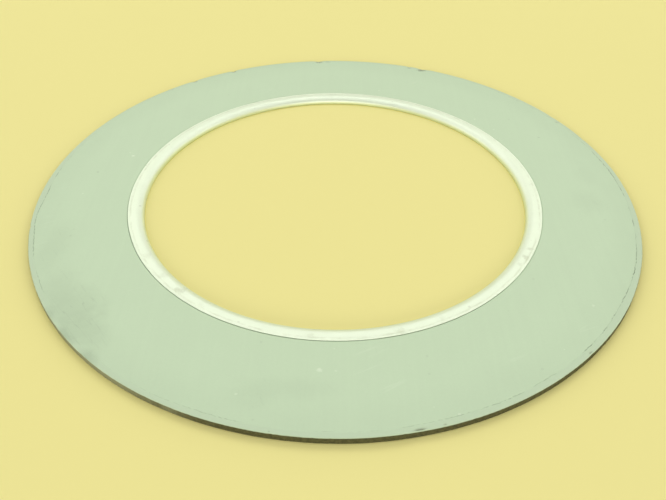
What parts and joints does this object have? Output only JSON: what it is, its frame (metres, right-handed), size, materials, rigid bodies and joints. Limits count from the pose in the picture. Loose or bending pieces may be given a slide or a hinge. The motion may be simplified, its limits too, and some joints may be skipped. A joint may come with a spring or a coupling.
{
  "type": "flat ring gasket with inner eyelet",
  "caption": "Flat soft-sheet ring gasket for a pipe flange, its bore lined with a thin stainless eyelet folded over both faces.",
  "frame": {"origin": "on the ring's axis, in the plane of the eyelet's underside", "axes": "+Z along the ring's axis, out of the upper face, whose outside edge is rolled; X and Y lie in the ring"},
  "size_m": [0.1365, 0.1364, 0.0017],
  "materials": {
    "soft_sheet": "matte",
    "stainless_strip": "satin"
  },
  "bodies": {
    "root": {"gasket_sheet": "soft_sheet", "bore_eyelet": "stainless_strip"}
  },
  "joints": []
}
